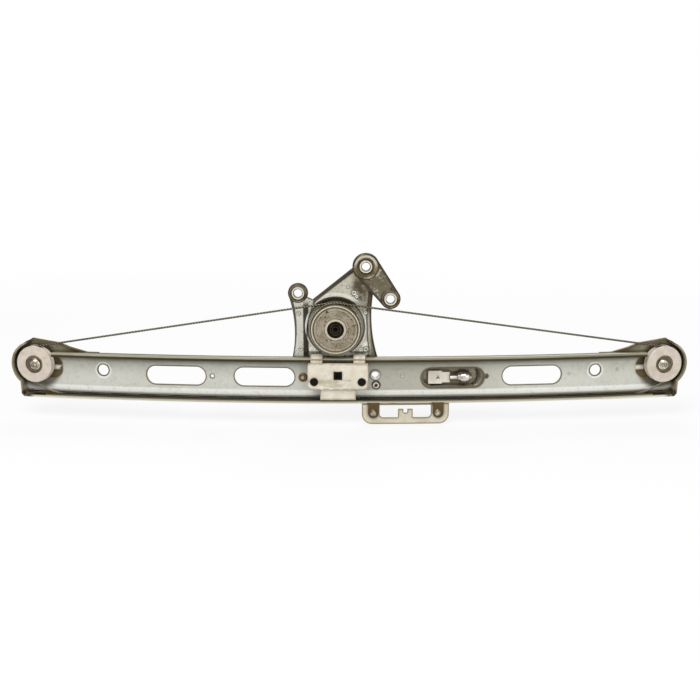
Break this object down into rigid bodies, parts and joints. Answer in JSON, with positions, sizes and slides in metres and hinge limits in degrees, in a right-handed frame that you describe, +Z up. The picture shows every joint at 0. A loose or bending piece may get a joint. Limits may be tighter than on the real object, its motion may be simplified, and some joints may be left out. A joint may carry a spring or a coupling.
{
  "type": "window regulator",
  "caption": "Single-rail cable window regulator: bowed pressed rail, carriage, cable drum on a plate with eyelets, end pulleys, cables and a harness bracket.",
  "frame": {"origin": "mouth of the drive bore, on the rear face of the drum hub", "axes": "+X along the rail, +Z up as in the picture, carriage side faces -Y"},
  "size_m": [0.5522, 0.0418, 0.1371],
  "materials": {
    "rail_zinc": "zinc-plated pressed steel, dull",
    "plate_zinc": "zinc-plated steel with brown stains",
    "arm_zinc": "zinc-plated steel, darkened",
    "eyelet_steel": "plated steel, tarnished, bright ring",
    "bush_plastic": "moulded bearing plastic",
    "drum_plastic": "grey-cream moulded drum, greasy",
    "hub_black": "black moulded hub",
    "clip_steel": "spring steel",
    "pulley_plastic": "cream moulded plastic",
    "pulley_bush_steel": "dark greased steel",
    "axle_steel": "bright domed rivet head",
    "carriage_plastic": "cream moulded plastic, stained",
    "glide_plastic": "cream moulded plastic",
    "plug_black": "black moulded plug",
    "insert_black": "black square insert",
    "anchor_steel": "plain steel",
    "bracket_beige": "beige coated sheet",
    "rivet_steel": "steel rivet",
    "pocket_zinc": "zinc-plated steel, olive",
    "block_plastic": "white moulded plastic",
    "plunger_steel": "bright turned steel",
    "collar_zinc": "bright plated steel",
    "cable_strand": "stranded steel cable, greased"
  },
  "bodies": {
    "root": {"guide_rail": "rail_zinc", "drum_plate": "plate_zinc", "strap_arm": "arm_zinc", "upper_eyelet": "eyelet_steel", "left_eyelet": "eyelet_steel", "arm_eyelet": "eyelet_steel", "drum_bush": "bush_plastic", "pulley_axle_left": "axle_steel", "pulley_axle_right": "axle_steel", "pulley_washer_left": "clip_steel", "pulley_washer_right": "clip_steel", "harness_bracket": "bracket_beige", "bracket_rivets": "rivet_steel", "pocket_cup": "pocket_zinc", "pocket_block": "block_plastic", "pocket_plunger": "plunger_steel", "plate_rivets": "rivet_steel", "collar_stud": "collar_zinc", "cable_left": "cable_strand", "cable_right": "cable_strand"},
    "carriage": {"carriage_body": "carriage_plastic", "carriage_glide": "glide_plastic", "carriage_plugs": "plug_black", "square_insert": "insert_black", "cable_anchors": "anchor_steel"},
    "drum": {"cable_drum": "drum_plastic", "drum_hub": "hub_black", "drum_clip": "clip_steel"},
    "left_pulley": {"pulley_left": "pulley_plastic", "pulley_bush_left": "pulley_bush_steel"},
    "right_pulley": {"pulley_right": "pulley_plastic", "pulley_bush_right": "pulley_bush_steel"}
  },
  "joints": [
    {"name": "carriage_travel", "type": "hinge", "parent": "root", "child": "carriage", "pos_m": [0.0108, 1.396, -0.041], "axis": [0, 0, 1], "range_deg": [-8.2, 8.9]},
    {"name": "drum_spin", "type": "hinge", "parent": "root", "child": "drum", "pos_m": [0, 0, 0], "axis": [0, -1, 0], "range_deg": [-566, 615]},
    {"name": "left_pulley_spin", "type": "hinge", "parent": "root", "child": "left_pulley", "pos_m": [-0.24568, 0.014, -0.0339], "axis": [-0.1825, -0.9832, 0], "range_deg": [-831, 901]},
    {"name": "right_pulley_spin", "type": "hinge", "parent": "root", "child": "right_pulley", "pos_m": [0.26728, 0.014, -0.0339], "axis": [0.1825, -0.9832, 0], "range_deg": [-831, 901]}
  ],
  "couplings": [
    {"joint": "drum_spin", "follows": "carriage_travel", "ratio": 68.902},
    {"joint": "left_pulley_spin", "follows": "carriage_travel", "ratio": 101.12},
    {"joint": "right_pulley_spin", "follows": "carriage_travel", "ratio": 101.12}
  ]
}
